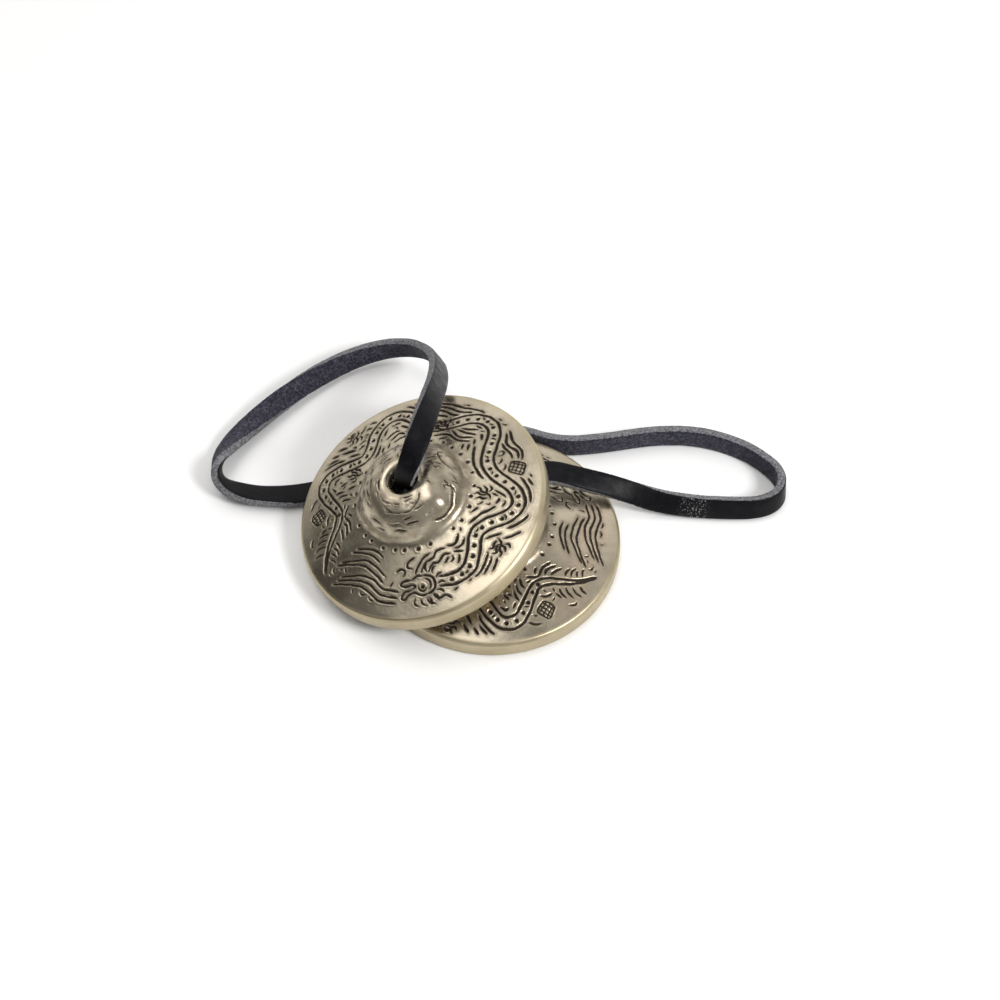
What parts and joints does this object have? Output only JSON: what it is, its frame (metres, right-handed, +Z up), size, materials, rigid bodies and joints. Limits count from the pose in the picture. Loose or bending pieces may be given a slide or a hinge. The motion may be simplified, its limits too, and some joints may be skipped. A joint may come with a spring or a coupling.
{
  "type": "finger cymbals",
  "caption": "Pair of small thick engraved bronze cymbals joined by one flat leather strap knotted inside each dome, struck rim to rim.",
  "frame": {"origin": "on the surface the pair lies on, under the middle of the two cymbals' own box, strap not counted", "axes": "+Z up out of the lower cymbal's dome; +X along the line from the leaning upper cymbal to the flat lower one, the pair's longest way; +Y away from a player who looks at the pair"},
  "size_m": [0.1512, 0.0956, 0.0407],
  "materials": {
    "bronze": "polished cast bronze with dark patina in the engraving",
    "strap_leather": "glossy black smooth side, suede back and grey cut edges"
  },
  "bodies": {
    "lower_cymbal": {"lower_cymbal": "bronze"},
    "strap": {"strap": "strap_leather", "lower_knot": "strap_leather", "upper_knot": "strap_leather"},
    "upper_cymbal": {"upper_cymbal": "bronze"}
  },
  "joints": [
    {"name": "lower_swivel", "type": "hinge", "parent": "lower_cymbal", "child": "strap", "pos_m": [0.0082, -0.0013, 0.01], "axis": [0, 0, 1], "continuous": true},
    {"name": "upper_swivel", "type": "hinge", "parent": "strap", "child": "upper_cymbal", "pos_m": [-0.0084, 0.0012, 0.0112], "axis": [-0.3034, -0.087, 0.9489], "continuous": true}
  ]
}
